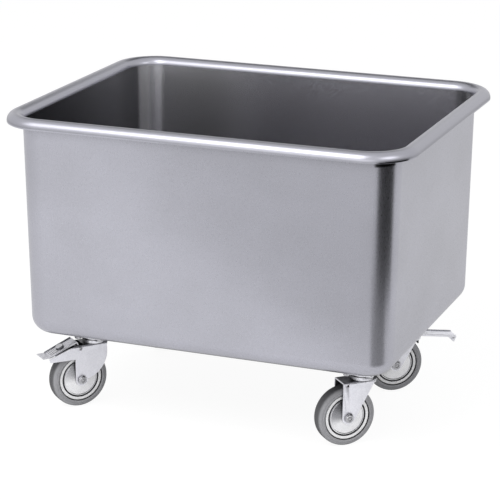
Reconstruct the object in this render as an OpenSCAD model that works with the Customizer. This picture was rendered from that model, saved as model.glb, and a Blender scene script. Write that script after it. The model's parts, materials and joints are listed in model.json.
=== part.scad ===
// Mobile stainless tub: a deep rounded tub with a rolled rim, carried by four swivel casters on
// folded brackets. The front left caster has a trailing brake pedal, the rear right one a leading lever.
// Millimetres. +X runs along the tub, +Y to its back and +Z up; the origin is on the floor under its centre.

/* [Tub] */
// Inside length of the mouth
mouth_l = 800; // [700:5:1000]
// Inside width of the mouth
mouth_w = 622; // [560:2:800]
// Outside height from the floor sheet to the crest of the rim
tub_h = 468; // [300:2:600]
// Thickness of the tub's sheet
sheet_t = 1.5; // [1:0.25:3]
// Inward lean of each wall between rim and floor
wall_draft = 8; // [2:0.5:16]
// Inside radius of the upright corners at the mouth
corner_r = 64; // [56:1:90]
// Outside radius along the floor's edge
floor_r = 35; // [20:1:40]
// Outside radius of the rolled rim
rim_r = 17; // [10:0.5:24]
// Straight lip below the roll
rim_lip = 3; // [1:0.5:8]

/* [Brackets] */
// Height of the folded bracket between caster and tub
bracket_h = 29; // [26:0.5:50]
// Thickness of the bracket's sheet
bracket_t = 3; // [2:0.5:5]
// Clear space between top plate and bracket wall
bracket_room = 0.5; // [0.3:0.1:3]
// Clear space round the head of the king pin
bracket_hole_gap = 2; // [0.5:0.5:4]

/* [Top plates] */
// Length of the top plate along X
plate_l = 66; // [62:1:90]
// Width of the top plate along Y
plate_w = 66; // [62:1:90]
// Thickness of the top plate
plate_t = 3; // [2:0.5:5]
// Bolt spacing along X
bolt_dx = 48; // [46:0.5:49]
// Bolt spacing along Y
bolt_dy = 48; // [46:0.5:49]
// Thread diameter of the plate bolts
bolt_d = 8; // [6:0.5:9]
// Radial clearance of the bolt holes
bolt_gap = 0.5; // [0.2:0.1:1]
// Width across flats of bolt heads and nuts
bolt_af = 13; // [12:0.5:15]
// Height of the bolt heads
bolt_head_h = 5.3; // [4:0.1:6]
// Height of the nuts
bolt_nut_h = 6.5; // [5:0.1:8]
// Outside diameter of the washers
washer_d = 16; // [15:0.5:20]
// Thickness of the washers
washer_t = 1.6; // [1:0.1:2]
// Thread that stands past a nut
bolt_past = 3; // [1:0.5:5]

/* [Swivel heads] */
// Distance of the swivel axes from the tub's centre along X
caster_x = 300; // [240:1:305]
// Distance of the swivel axes from the tub's centre along Y
caster_y = 165; // [150:1:205]
// Space between fork crown and top plate
head_h = 14; // [12:0.5:20]
// Diameter of the king pin
king_d = 12; // [10:0.5:14]
// Diameter of the king pin's heads
king_head_d = 18; // [16:0.5:22]
// Height of the king pin's lower head
king_head_h = 6; // [4:0.5:6]
// Height of the king pin's peened upper head
king_peen_h = 3; // [2:0.5:4]
// Outside diameter of the ball races
race_d = 48; // [44:1:50]
// Inside diameter of the ball races
race_bore_d = 23; // [21:0.5:24]
// Diameter of the swivel balls
ball_d = 7; // [6:0.25:7.5]
// Diameter of the circle through the balls
ball_circle_d = 33.5; // [33:0.5:34]
// Number of balls in a swivel head
ball_n = 12; // [8:1:13]
// Gap between the two races
race_gap = 0.8; // [0.5:0.1:2]

/* [Forks] */
// Distance of the axle behind the swivel axis
trail = 38; // [34:1:42]
// Clear width between the legs
fork_gap = 38; // [36:0.5:44]
// Thickness of the fork's sheet
fork_t = 3; // [2:0.5:4]
// Space between tyre and crown
crown_gap = 10; // [9:0.5:14]
// Outside radius of the bends between crown and legs
bend_r = 4; // [4:0.5:6]
// Radius of the leg's foot round the axle
foot_r = 14; // [12:0.5:18]
// Reach of the crown's round nose ahead of the swivel axis
nose_r = 30; // [28:0.5:34]
// Reach of the crown behind the swivel axis
crown_tail = 50; // [44:1:56]
// Reach of a plain leg ahead of the swivel axis, below the crown
leg_lead = 20; // [16:0.5:22]
// Radius of a braked leg's round leading edge
lead_r = 60; // [56:1:64]
// Height of the centre of that edge above the axle
lead_up = 58; // [54:1:60]
// Reach of the pedal wings behind the swivel axis
wing_reach = 111; // [104:1:116]
// Distance behind the swivel axis where the wings' top edge bends down
wing_knee = 66; // [60:1:76]
// Depth of that bend below the crown's top
wing_knee_down = 3.5; // [3:0.5:6]
// Depth of the wings' tip below the crown's top
wing_tip_down = 20; // [18:0.5:25]
// Depth of the wings' lower edge below the crown's top
wing_depth = 29; // [28:0.5:34]

/* [Wheels] */
// Outside diameter of the tyre
wheel_d = 125; // [115:1:140]
// Width of the tyre
tread_w = 32; // [28:0.5:33]
// Radius of the tyre's shoulders
shoulder_r = 8; // [4:0.5:10]
// Radius of the ridge round the tyre's side
ridge_r = 1; // [0.6:0.1:1.2]
// Distance of that ridge from the wheel's core
ridge_out = 3.5; // [2:0.25:4]
// Diameter of the wheel's core, on which the tyre sits
core_d = 98; // [94:1:102]
// Inside diameter of the core's rim
core_bore_d = 83; // [80:0.5:86]
// Width of the core's rim
core_w = 28; // [26:0.5:28]
// Thickness of the core's web
web_t = 8; // [5:0.5:12]
// Diameter of the core's hub
hub_d = 28; // [26:0.5:34]
// Width of the core's hub
hub_w = 31; // [28:0.5:32]
// Outside diameter of the roller bearing
bearing_d = 20; // [18:0.5:22]
// Clearance between tyre and core
tyre_gap = 0.3; // [0.2:0.05:0.5]
// Diameter of the thread guards
guard_d = 79; // [74:0.5:79.5]
// Thickness of the thread guards
guard_t = 1.5; // [1:0.25:2]
// Distance of a guard's outer edge from the wheel's middle
guard_edge = 13; // [12:0.25:14]

/* [Axles] */
// Diameter of the axle bolt
axle_d = 10; // [8:0.5:11]
// Outside diameter of the axle sleeve
sleeve_d = 14; // [13:0.5:15]
// Width across flats of the axle bolt's head and nut
axle_af = 17; // [15:0.5:20]
// Height of the axle bolt's head
axle_head_h = 6.4; // [4:0.2:8]
// Height of the axle nut
axle_nut_h = 8; // [6:0.5:10]
// Thread that stands past the axle nut
axle_past = 2; // [1:0.5:4]

/* [Clearances] */
// Radial clearance of every turning fit
run_gap = 0.05; // [0.02:0.01:0.09]
// Radial clearance of round pieces that are seated in each other
seat_gap = 0.05; // [0.02:0.01:0.1]
// Gap between pieces that move past each other
clear_gap = 0.3; // [0.2:0.05:0.5]

/* [Brakes] */
// Diameter of the brake pins
pin_d = 5; // [4:0.25:6]
// Diameter of the pins' rivet heads
pin_head_d = 9; // [8:0.5:11]
// Height of the pins' rivet heads
pin_head_h = 1.5; // [1:0.25:2]
// Diameter of the pedals' hubs
brake_hub_d = 8; // [7.5:0.25:9]
// Width of pedal and lever
pedal_w = 34; // [28:0.5:35]
// Thickness of the pedal's plate
pedal_t = 2.5; // [2:0.25:4]
// Distance of the pedal's pin behind the swivel axis
pedal_pin_x = 40; // [36:1:44]
// Depth of the pedal's pin below the crown's top
pedal_pin_down = 6.5; // [6:0.25:7]
// Reach of the pedal's tread behind its pin
pedal_reach = 66; // [62:1:72]
// Fall of the pedal's tread below its pin
pedal_fall = 10.5; // [6:0.5:14]
// Distance of the pedal's shoulder behind its pin
pedal_back = 6; // [5.5:0.5:8]
// Height of the pedal's shoulder above its pin
pedal_rise = 13.5; // [9:0.5:14]
// Length of the pedal's flattened toe
toe_l = 17; // [12:1:22]
// Rise of that toe in degrees
toe_angle = 0; // [0:1:30]
// Distance of the trailing shoe from the tyre at rest
shoe_gap = 6; // [5.5:0.25:8]
// Distance of the shoe's screw behind the pedal's pin
screw_x = 37; // [34:1:40]
// Length of the shoe ahead of its screw
shoe_front = 16; // [12:0.5:18]
// Length of the shoe behind its screw
shoe_back = 8; // [6:0.5:9]
// Distance of the shoe's foot above the wings' lower edge
shoe_up = 2; // [1:0.5:4]
// Diameter of the shoe's screw
screw_d = 6; // [5:0.5:8]
// Width across flats of the shoe screw's head
screw_af = 16; // [12:0.5:18]
// Height of the shoe screw's head
screw_head_h = 5; // [3:0.5:6]
// Depth of the screw in the shoe
screw_in = 9; // [6:0.5:10]
// Distance of the lever's pin ahead of the swivel axis
lever_pin_x = 9; // [8:0.5:10]
// Depth of the lever's pin below the crown's top
lever_pin_down = 16; // [15:0.5:17]
// Thickness of the lever's plate
lever_t = 3; // [2:0.25:4]
// Radius of the lug round the lever's pin
lug_r = 8; // [7:0.5:10]
// Reach of the lever ahead of its pin
lever_reach = 90; // [70:1:100]
// Fall of the lever's tip below its pin
lever_fall = 8; // [4:0.5:14]
// Length of the lever's downturned tip
tip_l = 11; // [8:0.5:14]
// Fall of that tip in degrees
tip_angle = 65; // [45:1:80]
// Reach of the lever's cam behind its pin
cam_back = 2; // [1:0.5:2]
// Length of the lever's cam along X
cam_l = 8; // [6:0.5:8]
// Depth of the lever's cam below its pin
cam_drop = 8; // [7:0.5:9]
// Height of the leading shoe under the cam
cam_shoe_h = 9; // [7:0.5:9]
// Distance of the leading shoe from the tyre at rest
cam_gap = 3.5; // [3:0.25:5]

/* [Headings] */
// Heading of the front left caster in degrees
heading_fl = 50; // [-180:1:180]
// Heading of the front right caster in degrees
heading_fr = 44; // [-180:1:180]
// Heading of the rear left caster in degrees
heading_rl = -80; // [-180:1:180]
// Heading of the rear right caster in degrees
heading_rr = 36; // [-180:1:180]

/* [Hidden] */
$fn = 64;
// Heights above the floor, from the wheels up
wheel_r = wheel_d / 2;
axle_z = wheel_r;
crown_z = wheel_d + crown_gap;
fork_top = crown_z + fork_t;
plate_z = fork_top + head_h;
bracket_z = plate_z + plate_t;
tub_z = bracket_z + bracket_h;
rim_z = tub_z + tub_h;
// The tub's section, with r measured from the axis of an upright corner
lean = atan(wall_draft / (tub_h - rim_r));
wall_out = [cos(lean), -sin(lean)];
roll_c = [corner_r + rim_r, rim_z - rim_r];
floor_in_r = floor_r - sheet_t;
floor_cz = tub_z + floor_r;
roll_in = roll_c - rim_r * wall_out;
floor_c = [roll_in.x - (floor_in_r + (roll_in.y - floor_cz) * sin(lean)) / cos(lean), floor_cz];
// Places of the upright corners' axes
axis_x = mouth_l / 2 - corner_r;
axis_y = mouth_w / 2 - corner_r;
// Fork and wheel
leg_out = fork_gap / 2 + fork_t;
// Length that passes every caster piece, and overlap of outlines that are joined
big = 400;
lap = 2;
// Ball races meet halfway between crown and plate
ball_z = fork_top + head_h / 2;
// Brake pivots, in a caster's own plane: x ahead of the swivel axis, z above the floor
pedal_pin = [-pedal_pin_x, fork_top - pedal_pin_down];
pedal_knee = pedal_pin + [-pedal_back, pedal_rise];
pedal_end = pedal_pin + [-pedal_reach, -pedal_fall];
pedal_dir = (pedal_end - pedal_knee) / norm(pedal_end - pedal_knee);
pedal_up = [pedal_dir.y, -pedal_dir.x];
toe_end = pedal_end + toe_l * [-cos(toe_angle), sin(toe_angle)];
lever_pin = [lever_pin_x, fork_top - lever_pin_down];
lever_root = lever_pin + [0, brake_hub_d / 2 - lever_t / 2];
lever_tip = lever_pin + [lever_reach, -lever_fall];
tip_end = lever_tip + tip_l * [-cos(tip_angle), -sin(tip_angle)];
// Name, side along X, side along Y, heading and brake of each caster
corners = [
    ["front_left", -1, -1, heading_fl, "pedal"],
    ["front_right", 1, -1, heading_fr, "none"],
    ["rear_left", -1, 1, heading_rl, "none"],
    ["rear_right", 1, 1, heading_rr, "lever"],
];
caster_pieces = [
    "mount_bracket", "top_plate", "king_pin", "swivel_balls",
    "fork", "axle_bolt", "axle_nut", "axle_sleeve", "thread_guards",
    "wheel_core", "wheel_bearing", "tyre",
];

// Put a piece drawn on the swivel axis at its corner of the tub
module at_corner(c) {
    translate([c[1] * caster_x, c[2] * caster_y, 0]) children();
}

// The same, turned to the caster's heading
module at_heading(c) {
    at_corner(c) rotate([0, 0, c[3]]) children();
}

// Turn a flat outline in x and z into a bar of width w across the caster
module across(w) {
    rotate([90, 0, 0]) linear_extrude(w, center = true) children();
}

// Turn a piece drawn on Z so that it runs along the axle, its top to the caster's near side
module on_axle() {
    translate([-trail, 0, axle_z]) rotate([90, 0, 0]) children();
}

// A round bar across the caster at p, from y0 to y1
module cross_pin(p, d, y0, y1) {
    translate([p.x, y1, p.y]) rotate([90, 0, 0]) cylinder(d = d, h = y1 - y0);
}

// A hexagon with the given width across flats
module hexagon(af, h) {
    cylinder(d = af / cos(30), h = h, $fn = 6);
}

// A flat strip of thickness t with round ends, from p to q
module strip(p, q, t) {
    d = q - p;
    translate(p) rotate(atan2(d.y, d.x)) translate([0, -t / 2]) square([norm(d), t]);
    translate(p) circle(d = t);
    translate(q) circle(d = t);
}

// A wedge from angle a0 to a1 round c, reaching past radius r
module wedge(c, r, a0, a1) {
    polygon(concat([c], [for (i = [0:4]) let (a = a0 + (a1 - a0) * i / 4) c + 2 * r * [cos(a), sin(a)]]));
}

// A bent stretch of sheet: outside radius r round c, from angle a0 to a1
module bent_sheet(c, r, a0, a1) {
    intersection() {
        difference() {
            translate(c) circle(r);
            translate(c) circle(r - sheet_t);
        }
        wedge(c, r, a0, a1);
    }
}

// Section through wall and rim
module wall_section() {
    bent_sheet(floor_c, floor_r, -90, -lean);
    polygon([
        floor_c + floor_in_r * wall_out,
        floor_c + floor_r * wall_out,
        roll_c - (rim_r - sheet_t) * wall_out,
        roll_c - rim_r * wall_out,
    ]);
    bent_sheet(roll_c, rim_r, 0, 180 - lean);
    translate(roll_c + [rim_r - sheet_t, -rim_lip]) square([sheet_t, rim_lip]);
}

module wall_side(run, out) {
    translate([out, 0, 0]) rotate([90, 0, 0]) linear_extrude(run, center = true) wall_section();
}

module tub() {
    color("silver") {
        for (turn = [0, 180]) {
            rotate([0, 0, turn]) wall_side(2 * axis_y, axis_x);
            rotate([0, 0, turn + 90]) wall_side(2 * axis_x, axis_y);
        }
        for (q = [0:3]) {
            sx = q == 0 || q == 3 ? 1 : -1;
            sy = q < 2 ? 1 : -1;
            translate([sx * axis_x, sy * axis_y, 0]) rotate([0, 0, 90 * q])
                rotate_extrude(angle = 90) wall_section();
        }
        translate([0, 0, tub_z]) linear_extrude(sheet_t) {
            square([2 * (axis_x + floor_c.x), 2 * axis_y], center = true);
            square([2 * axis_x, 2 * (axis_y + floor_c.x)], center = true);
            for (sx = [-1, 1], sy = [-1, 1]) translate([sx * axis_x, sy * axis_y]) circle(floor_c.x);
        }
    }
}

// Children at each of a plate's four bolts
module at_bolts() {
    for (sx = [-1, 1], sy = [-1, 1]) translate([sx * bolt_dx / 2, sy * bolt_dy / 2, 0]) children();
}

module bolt_holes(z, h) {
    at_bolts() translate([0, 0, z - 1]) cylinder(d = bolt_d + 2 * bolt_gap, h = h + 2);
}

module mount_bracket(c) {
    wall_y = plate_w / 2 + bracket_room;
    color("lightgray") at_corner(c) difference() {
        translate([-plate_l / 2, -wall_y - bracket_t, bracket_z])
            cube([plate_l, 2 * (wall_y + bracket_t), bracket_h]);
        translate([-plate_l, -wall_y, bracket_z + bracket_t]) cube([2 * plate_l, 2 * wall_y, bracket_h]);
        translate([0, 0, bracket_z - 1]) cylinder(d = king_head_d + 2 * bracket_hole_gap, h = bracket_t + 2);
        bolt_holes(bracket_z, bracket_t);
    }
}

// Half-round track for the balls, r_gap clear of them
module ball_track(r_gap) {
    translate([0, 0, ball_z]) rotate_extrude() translate([ball_circle_d / 2, 0]) circle(ball_d / 2 + r_gap);
}

module race_ring(z, h) {
    translate([0, 0, z]) difference() {
        cylinder(d = race_d, h = h);
        translate([0, 0, -1]) cylinder(d = race_bore_d, h = h + 2);
    }
}

module top_plate(c) {
    color("gainsboro") at_corner(c) difference() {
        union() {
            translate([-plate_l / 2, -plate_w / 2, plate_z]) cube([plate_l, plate_w, plate_t]);
            race_ring(ball_z + race_gap / 2, plate_z - ball_z - race_gap / 2);
        }
        translate([0, 0, plate_z - 1]) cylinder(d = king_d + 2 * seat_gap, h = plate_t + 2);
        bolt_holes(plate_z, plate_t);
        ball_track(seat_gap);
    }
}

module king_pin(c) {
    head_top = crown_z - clear_gap;
    color("darkgray") at_corner(c) {
        translate([0, 0, head_top - king_head_h]) cylinder(d = king_head_d, h = king_head_h);
        translate([0, 0, head_top]) cylinder(d = king_d, h = bracket_z - head_top);
        translate([0, 0, bracket_z]) cylinder(d = king_head_d, h = king_peen_h);
    }
}

module swivel_balls(c) {
    color("dimgray") at_corner(c) for (i = [0:ball_n - 1])
        rotate([0, 0, 360 * i / ball_n]) translate([ball_circle_d / 2, 0, ball_z]) sphere(d = ball_d);
}

module plate_bolts() {
    color("gainsboro") for (c = corners) at_corner(c) at_bolts() {
        translate([0, 0, plate_z - bolt_head_h]) hexagon(bolt_af, bolt_head_h);
        translate([0, 0, plate_z])
            cylinder(d = bolt_d, h = plate_t + bracket_t + washer_t + bolt_nut_h + bolt_past);
    }
}

module plate_washers() {
    color("gainsboro") for (c = corners) at_corner(c) at_bolts()
        translate([0, 0, bracket_z + bracket_t]) difference() {
            cylinder(d = washer_d, h = washer_t);
            translate([0, 0, -1]) cylinder(d = bolt_d + 2 * seat_gap, h = washer_t + 2);
        }
}

module plate_nuts() {
    color("gainsboro") for (c = corners) at_corner(c) at_bolts()
        translate([0, 0, bracket_z + bracket_t + washer_t]) difference() {
            hexagon(bolt_af, bolt_nut_h);
            translate([0, 0, -1]) cylinder(d = bolt_d + 2 * seat_gap, h = bolt_nut_h + 2);
        }
}

// Upright arch: half width hw, height top, corner radius r
module arch(hw, top, r) {
    translate([-hw, 0]) square([2 * hw, top - r]);
    translate([-hw + r, 0]) square([2 * (hw - r), top]);
    for (s = [-1, 1]) translate([s * (hw - r), top - r]) circle(r);
}

// Bent channel of sheet that the forks are cut from, along X
module fork_channel() {
    rotate([90, 0, 90]) linear_extrude(big, center = true) difference() {
        arch(leg_out, fork_top, bend_r);
        arch(fork_gap / 2, crown_z, bend_r - fork_t);
    }
}

// Side of the crown, from its tail to its nose
module crown_side(tail) {
    translate([-tail, crown_z - fork_t]) square([tail + nose_r, 2 * fork_t]);
}

// Side of a plain leg: straight edges from the crown down to a round foot
module plain_leg_side() {
    foot = [-trail, axle_z];
    lead = [leg_lead, crown_z];
    reach = lead - foot;
    touch = atan2(reach.y, reach.x) - acos(foot_r / norm(reach));
    translate(foot) circle(foot_r);
    polygon([
        foot + [-foot_r, 0],
        foot,
        foot + foot_r * [cos(touch), sin(touch)],
        lead,
        [leg_lead, fork_top],
        [-crown_tail, fork_top],
    ]);
}

// Side of a braked leg: broad, with a round leading edge
module braked_leg_side() {
    translate([-trail, axle_z]) circle(foot_r);
    intersection() {
        translate([-trail, axle_z + lead_up]) circle(lead_r);
        translate([-trail - foot_r, axle_z]) square([big, fork_top - axle_z]);
    }
}

// Side of the wings that flank the pedal
module wing_side() {
    back = -trail - foot_r;
    low = fork_top - wing_depth;
    polygon([
        [back + lap, fork_top],
        [back, fork_top],
        [-wing_knee, fork_top - wing_knee_down],
        [-wing_reach, fork_top - wing_tip_down],
        [-wing_reach + lap, low + lap],
        [back, low],
        [back + lap, low],
    ]);
}

// Plan of the fork: straight sides and a nose that is round about the swivel axis
module fork_plan() {
    linear_extrude(big) {
        circle(nose_r);
        translate([-big, -leg_out]) square([big, 2 * leg_out]);
    }
}

module fork(c) {
    brake = c[4];
    color("whitesmoke") at_heading(c) difference() {
        union() {
            intersection() {
                fork_channel();
                across(big) {
                    crown_side(brake == "pedal" ? nose_r : crown_tail);
                    if (brake == "pedal") {
                        braked_leg_side();
                        wing_side();
                    } else plain_leg_side();
                    if (brake == "lever") translate(lever_pin) circle(lug_r);
                }
                fork_plan();
            }
            race_ring(fork_top, ball_z - race_gap / 2 - fork_top);
        }
        if (brake == "pedal")
            translate([-big, -fork_gap / 2, axle_z]) cube([big - nose_r, fork_gap, big]);
        translate([0, 0, crown_z - 1]) cylinder(d = king_d + 2 * run_gap, h = fork_t + 2);
        ball_track(clear_gap);
        cross_pin([-trail, axle_z], axle_d + 2 * seat_gap, -big, big);
        cross_pin(pedal_pin, pin_d + 2 * seat_gap, -big, big);
        if (brake == "lever") cross_pin(lever_pin, pin_d + 2 * seat_gap, -big, big);
    }
}

module axle_bolt(c) {
    color("gainsboro") at_heading(c) on_axle() {
        translate([0, 0, leg_out]) hexagon(axle_af, axle_head_h);
        translate([0, 0, -leg_out - axle_nut_h - axle_past])
            cylinder(d = axle_d, h = 2 * leg_out + axle_nut_h + axle_past);
    }
}

module axle_nut(c) {
    color("gainsboro") at_heading(c) on_axle() translate([0, 0, -leg_out - axle_nut_h]) difference() {
        hexagon(axle_af, axle_nut_h);
        translate([0, 0, -1]) cylinder(d = axle_d + 2 * seat_gap, h = axle_nut_h + 2);
    }
}

module axle_sleeve(c) {
    color("darkgray") at_heading(c) on_axle() translate([0, 0, -fork_gap / 2]) difference() {
        cylinder(d = sleeve_d, h = fork_gap);
        translate([0, 0, -1]) cylinder(d = axle_d + 2 * seat_gap, h = fork_gap + 2);
    }
}

// Section of one guard: flat round the sleeve, then falling to the edge
module guard_section() {
    bore = sleeve_d / 2 + seat_gap;
    flat = hub_d / 2;
    top = fork_gap / 2 - clear_gap;
    edge = guard_d / 2;
    polygon([
        [bore, top - guard_t],
        [flat, top - guard_t],
        [edge - guard_t, guard_edge - guard_t],
        [edge, guard_edge - guard_t],
        [edge, guard_edge],
        [edge - guard_t, guard_edge + guard_t / 2],
        [flat, top],
        [bore, top],
    ]);
}

module thread_guards(c) {
    color("lightgray") at_heading(c) on_axle() for (s = [0, 1])
        mirror([0, 0, s]) rotate_extrude() guard_section();
}

module wheel_core(c) {
    bore = bearing_d / 2 + seat_gap;
    color("lightgray") at_heading(c) on_axle() rotate_extrude() {
        translate([bore, -hub_w / 2]) square([hub_d / 2 - bore, hub_w]);
        translate([bore, -web_t / 2]) square([core_d / 2 - bore, web_t]);
        translate([core_bore_d / 2, -core_w / 2]) square([(core_d - core_bore_d) / 2, core_w]);
    }
}

module wheel_bearing(c) {
    color("dimgray") at_heading(c) on_axle() translate([0, 0, -hub_w / 2]) difference() {
        cylinder(d = bearing_d, h = hub_w);
        translate([0, 0, -1]) cylinder(d = sleeve_d + 2 * run_gap, h = hub_w + 2);
    }
}

// Half section of the tyre: round shoulders and a ridge on each side
module tyre_section() {
    translate([0, -tread_w / 2]) square([wheel_r - shoulder_r, tread_w]);
    translate([0, shoulder_r - tread_w / 2]) square([wheel_r, tread_w - 2 * shoulder_r]);
    for (s = [-1, 1]) {
        translate([wheel_r - shoulder_r, s * (tread_w / 2 - shoulder_r)]) circle(shoulder_r);
        translate([core_d / 2 + ridge_out, s * tread_w / 2]) circle(ridge_r);
    }
}

module tyre(c) {
    inner = core_d / 2 + tyre_gap;
    color("gray") at_heading(c) on_axle() rotate_extrude() difference() {
        tyre_section();
        translate([0, -tread_w]) square([inner, 2 * tread_w]);
    }
}

function brake_pin_place(c) = c[4] == "pedal" ? pedal_pin : lever_pin;

module brake_pin(c) {
    p = brake_pin_place(c);
    color("gainsboro") at_heading(c) {
        cross_pin(p, pin_d, -leg_out, leg_out);
        cross_pin(p, pin_head_d, leg_out, leg_out + pin_head_h);
        cross_pin(p, pin_head_d, -leg_out - pin_head_h, -leg_out);
    }
}

// Point on the pedal's underside, d behind its pin
function pedal_under(d) =
    let (run = d - pedal_back)
    pedal_knee + [-run, (run * pedal_dir.y - pedal_t / 2) / -pedal_dir.x];

module brake_pedal(c) {
    color("whitesmoke") at_heading(c) difference() {
        across(pedal_w) {
            translate(pedal_pin) circle(d = brake_hub_d);
            strip(pedal_pin, pedal_knee, pedal_t);
            strip(pedal_knee, pedal_end, pedal_t);
            strip(pedal_end, toe_end, pedal_t);
        }
        cross_pin(pedal_pin, pin_d + 2 * run_gap, -big, big);
        on_screw() translate([0, 0, -big / 2]) cylinder(d = screw_d + 2 * seat_gap, h = big);
    }
}

// Stand on the pedal's underside at the shoe's screw, square to the plate
module on_screw() {
    p = pedal_under(screw_x);
    translate([p.x, 0, p.y]) rotate([0, atan2(pedal_up.x, pedal_up.y), 0]) children();
}

module shoe_screw(c) {
    color("gainsboro") at_heading(c) on_screw() {
        translate([0, 0, pedal_t]) hexagon(screw_af, screw_head_h);
        translate([0, 0, -screw_in]) cylinder(d = screw_d, h = pedal_t + screw_in);
    }
}

// Block under the pedal, hollowed to the tyre
module pedal_shoe_side() {
    front = screw_x - shoe_front;
    back = screw_x + shoe_back;
    low = fork_top - wing_depth + shoe_up;
    difference() {
        polygon([
            pedal_under(front),
            pedal_under(back),
            [pedal_under(back).x, low],
            [pedal_under(front).x, low],
        ]);
        translate([-trail, axle_z]) circle(wheel_r + shoe_gap);
    }
}

// Block under the lever's cam, hollowed to the tyre
module lever_shoe_side() {
    difference() {
        translate(lever_pin + [-cam_back, -cam_drop - cam_shoe_h]) square([cam_l, cam_shoe_h]);
        translate([-trail, axle_z]) circle(wheel_r + cam_gap);
    }
}

module brake_shoe(c) {
    color("dimgray") at_heading(c) difference() {
        across(tread_w - 2 * ridge_r) {
            if (c[4] == "pedal") pedal_shoe_side();
            else lever_shoe_side();
        }
        if (c[4] == "pedal")
            on_screw() translate([0, 0, -screw_in - seat_gap]) cylinder(d = screw_d + 2 * seat_gap, h = big);
    }
}

module brake_lever(c) {
    color("whitesmoke") at_heading(c) difference() {
        across(pedal_w) {
            translate(lever_pin) circle(d = brake_hub_d);
            translate(lever_pin + [-cam_back, -cam_drop]) square([cam_l, cam_drop]);
            strip(lever_root, lever_tip, lever_t);
            strip(lever_tip, tip_end, lever_t);
        }
        cross_pin(lever_pin, pin_d + 2 * run_gap, -big, big);
    }
}

tub();
plate_bolts();
plate_washers();
plate_nuts();
for (c = corners) {
    mount_bracket(c);
    top_plate(c);
    king_pin(c);
    swivel_balls(c);
    fork(c);
    axle_bolt(c);
    axle_nut(c);
    axle_sleeve(c);
    thread_guards(c);
    wheel_core(c);
    wheel_bearing(c);
    tyre(c);
    if (c[4] != "none") {
        brake_pin(c);
        brake_shoe(c);
    }
    if (c[4] == "pedal") {
        brake_pedal(c);
        shoe_screw(c);
    }
    if (c[4] == "lever")
        brake_lever(c);
}
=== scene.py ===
"""Looks of a mobile stainless tub: a deep tub with a rolled rim on four swivel casters."""

import json
import math

import bmesh
import bpy
from bpy.props import FloatProperty, FloatVectorProperty, IntProperty, PointerProperty
from mathutils import Matrix, Vector


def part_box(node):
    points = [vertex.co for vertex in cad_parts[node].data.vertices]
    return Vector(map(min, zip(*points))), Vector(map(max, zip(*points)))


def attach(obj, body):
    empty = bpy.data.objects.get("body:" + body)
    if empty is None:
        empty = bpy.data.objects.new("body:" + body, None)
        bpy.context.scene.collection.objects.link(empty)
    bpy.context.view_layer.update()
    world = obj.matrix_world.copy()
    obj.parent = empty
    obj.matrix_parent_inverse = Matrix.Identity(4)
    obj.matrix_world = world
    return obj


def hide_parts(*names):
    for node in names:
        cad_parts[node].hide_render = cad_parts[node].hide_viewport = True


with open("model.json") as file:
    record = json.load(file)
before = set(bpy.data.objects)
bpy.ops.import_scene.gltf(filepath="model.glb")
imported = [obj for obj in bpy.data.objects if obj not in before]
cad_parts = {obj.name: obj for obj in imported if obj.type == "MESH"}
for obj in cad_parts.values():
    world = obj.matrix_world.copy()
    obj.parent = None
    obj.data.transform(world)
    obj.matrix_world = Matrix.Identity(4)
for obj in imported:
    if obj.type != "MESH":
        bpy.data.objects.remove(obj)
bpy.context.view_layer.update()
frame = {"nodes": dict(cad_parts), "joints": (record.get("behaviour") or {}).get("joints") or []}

bl_info = {
    "name": "Mobile tub",
    "version": (1, 0, 0),
    "blender": (4, 5, 0),
    "location": "View3D > Sidebar > Mobile tub",
    "description": "Dresses a stainless tub on casters and sets its studio",
    "category": "Object",
}

CORNERS = ("front_left", "front_right", "rear_left", "rear_right")
JOINTS = {joint["name"]: joint for joint in frame["joints"]}
TUB_LOW, TUB_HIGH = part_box("tub")
UP = Vector((0, 0, 1))
UPSIDE_DOWN = Matrix.Scale(-1, 4, UP)
WHITE = (1, 1, 1, 1)
TREAD_MARK = "tread"

# Facets of round forms, and the angle past which an edge stays sharp
ROUND_STEPS = 96
BOLT_STEPS = 48
SMALL_STEPS = 32
ROLL_STEPS = 28
BEND_STEPS = 12
ARC_STEPS = 6
EDGE_STEPS = 2
SHARP = math.radians(38)

# Rounding of fine edges, and the play of a nut or washer on its thread, in metres
FINE_EDGE = 0.0003
PLAY = 0.0001


def length(name, default, description):
    """A size in metres."""
    return FloatProperty(name=name, description=description, default=default, unit="LENGTH", precision=4)


def share(name, default, description):
    """A value between nothing and all."""
    return FloatProperty(name=name, description=description, default=default, min=0, max=1, subtype="FACTOR")


def angle(name, default, description):
    """An angle, given in degrees."""
    return FloatProperty(name=name, description=description, default=math.radians(default), subtype="ANGLE")


def colour(name, default, description):
    """A colour, without its alpha."""
    return FloatVectorProperty(
        name=name, description=description, default=default, size=3, min=0, max=1, subtype="COLOR"
    )


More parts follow.
